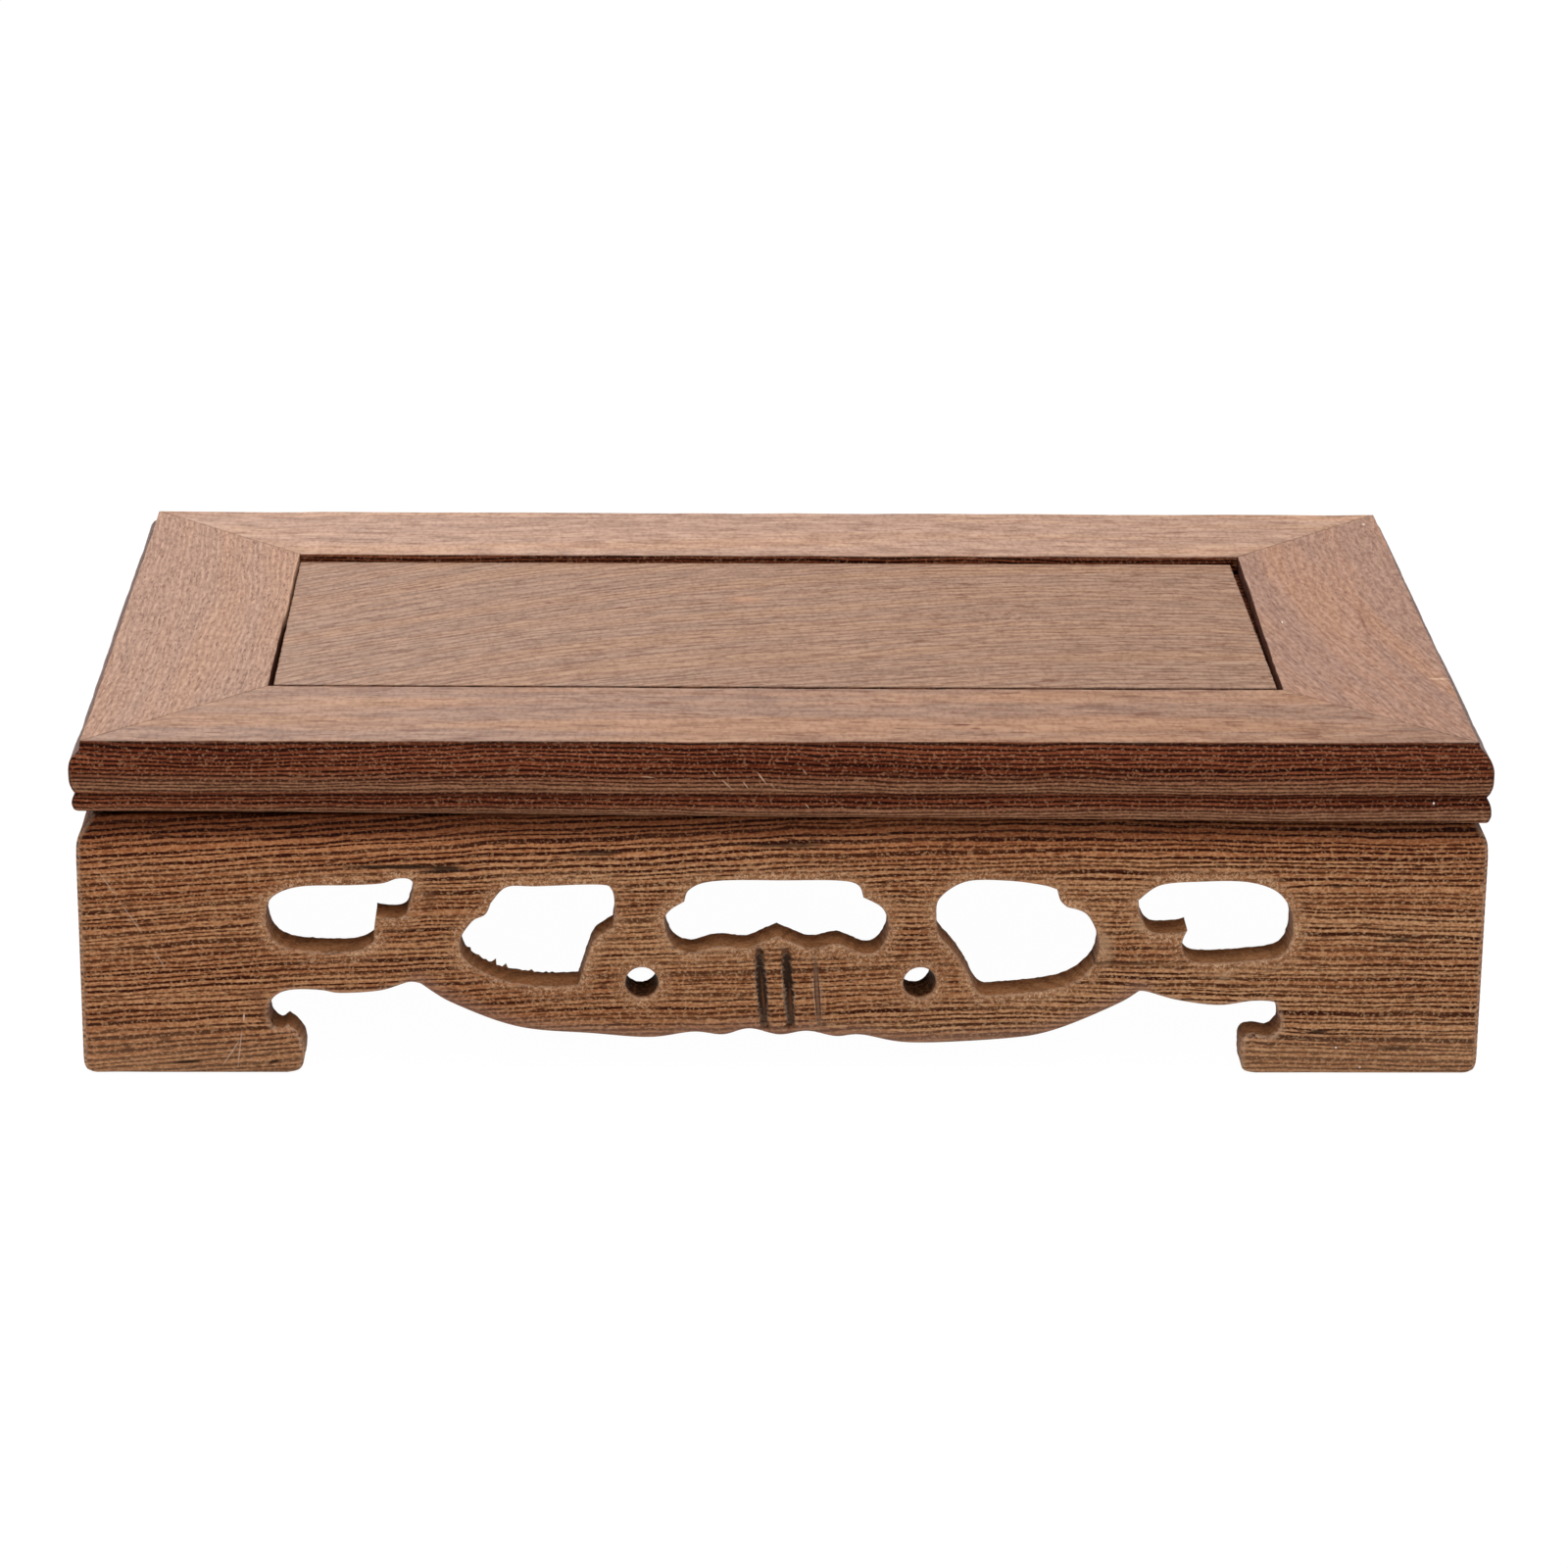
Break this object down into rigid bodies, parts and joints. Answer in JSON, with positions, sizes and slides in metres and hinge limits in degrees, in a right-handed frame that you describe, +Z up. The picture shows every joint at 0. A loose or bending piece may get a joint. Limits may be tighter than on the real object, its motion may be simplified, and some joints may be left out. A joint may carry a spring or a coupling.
{
  "type": "display stand",
  "caption": "Low rectangular wooden display stand: mitred frame with a recessed floating panel on a box of fretted aprons with hooked feet.",
  "frame": {"origin": "on the floor under the middle of the stand", "axes": "+X along the length, +Z up, front towards -Y"},
  "size_m": [0.15, 0.09, 0.0375],
  "materials": {
    "frame_wood": "oiled, fine scratch grain",
    "panel_wood": "oiled, matte",
    "apron_wood": "oiled, satin",
    "inner_wood": "bare, sawn",
    "bamboo": "bare"
  },
  "bodies": {
    "root": {"front_rail": "frame_wood", "back_rail": "frame_wood", "left_rail": "frame_wood", "right_rail": "frame_wood", "centre_panel": "panel_wood", "panel_batten": "inner_wood", "front_apron": "apron_wood", "back_apron": "apron_wood", "left_apron": "apron_wood", "right_apron": "apron_wood", "corner_block_front_left": "inner_wood", "corner_block_front_right": "inner_wood", "corner_block_back_right": "inner_wood", "corner_block_back_left": "inner_wood", "front_pin_1": "bamboo", "front_pin_2": "bamboo", "back_pin_1": "bamboo", "back_pin_2": "bamboo", "left_pin_1": "bamboo", "left_pin_2": "bamboo", "right_pin_1": "bamboo", "right_pin_2": "bamboo"}
  },
  "joints": []
}
